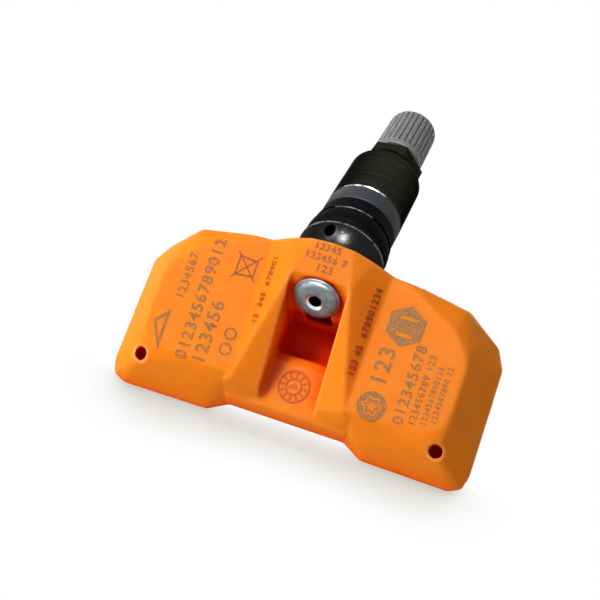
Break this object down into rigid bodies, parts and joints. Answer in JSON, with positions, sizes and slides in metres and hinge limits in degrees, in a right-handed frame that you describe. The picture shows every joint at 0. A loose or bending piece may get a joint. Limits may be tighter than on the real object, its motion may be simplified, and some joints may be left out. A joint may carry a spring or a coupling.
{
  "type": "tyre_pressure_sensor",
  "caption": "Tyre pressure sensor: orange winged housing with a slotted channel, tilting on the ball end of a black clamp-in valve with grommet, slip ring, union nut and grooved cap",
  "frame": {"origin": "On the valve's axis, in the plane of the bright edge of the rubber grommet that seats on the inner face of the rim around the valve hole", "axes": "+Y runs along the valve's axis out of the rim, X along the length of the housing, +Z away from the rim well, on the side of the housing's printed decks"},
  "size_m": [0.072, 0.0716, 0.0331],
  "materials": {
    "housing": "glass-filled moulding, orange",
    "cover": "potting cover",
    "board": "coated circuit board",
    "steel": "satin steel",
    "component": "moulded package",
    "ceramic": "ceramic body",
    "copper": "copper strip",
    "black_metal": "black anodised aluminium",
    "stem_metal": "black coated, satin",
    "screw_metal": "turned stainless steel",
    "rubber": "moulded rubber",
    "ring_plastic": "grey slip ring",
    "cap_plastic": "grey cap",
    "brass": "turned brass"
  },
  "bodies": {
    "valve": {"valve_stem": "stem_metal", "fixing_screw": "screw_metal", "support_washer": "steel", "sealing_grommet": "rubber", "core_barrel": "brass"},
    "housing": {"housing": "housing", "base_cover": "cover", "circuit_board": "board", "battery": "steel", "battery_tab_positive": "steel", "battery_tab_negative": "steel", "pressure_sensor": "component", "control_chip": "component", "lf_coil": "copper", "antenna": "copper", "crystal": "steel", "capacitor_front": "ceramic", "capacitor_middle": "ceramic", "capacitor_back": "ceramic"},
    "collar": {"outer_seal": "rubber", "slip_ring": "ring_plastic"},
    "nut": {"union_nut": "black_metal"},
    "cap_slide": {"cap_seal": "rubber"},
    "cap": {"valve_cap": "cap_plastic"},
    "core": {"core_pin": "brass", "core_seal": "rubber", "core_spring": "steel"}
  },
  "joints": [
    {"name": "housing_tilt", "type": "hinge", "parent": "valve", "child": "housing", "pos_m": [0, -0.0031, 0], "axis": [1, 0, 0], "range_deg": [-18, 3]},
    {"name": "collar_lift", "type": "slide", "parent": "valve", "child": "collar", "axis": [0, 1, 0], "range_m": [0, 0.001]},
    {"name": "nut_turn", "type": "hinge", "parent": "collar", "child": "nut", "pos_m": [0, 0.01, 0], "axis": [0, 1, 0], "range_deg": [0, 360]},
    {"name": "cap_lift", "type": "slide", "parent": "valve", "child": "cap_slide", "axis": [0, 1, 0], "range_m": [0, 0.00398]},
    {"name": "cap_turn", "type": "hinge", "parent": "cap_slide", "child": "cap", "pos_m": [0, 0.03, 0], "axis": [0, 1, 0], "range_deg": [0, 1800]},
    {"name": "core_pin_press", "type": "slide", "parent": "valve", "child": "core", "axis": [0, -1, 0], "range_m": [0, 0.0012], "stiffness_N_per_m": 800, "springref_m": -0.001, "deforming": ["core_spring"]}
  ],
  "couplings": [
    {"joint": "collar_lift", "follows": "nut_turn", "m_per_rad": 0.00015915},
    {"joint": "cap_lift", "follows": "cap_turn", "m_per_rad": 0.00012637}
  ]
}
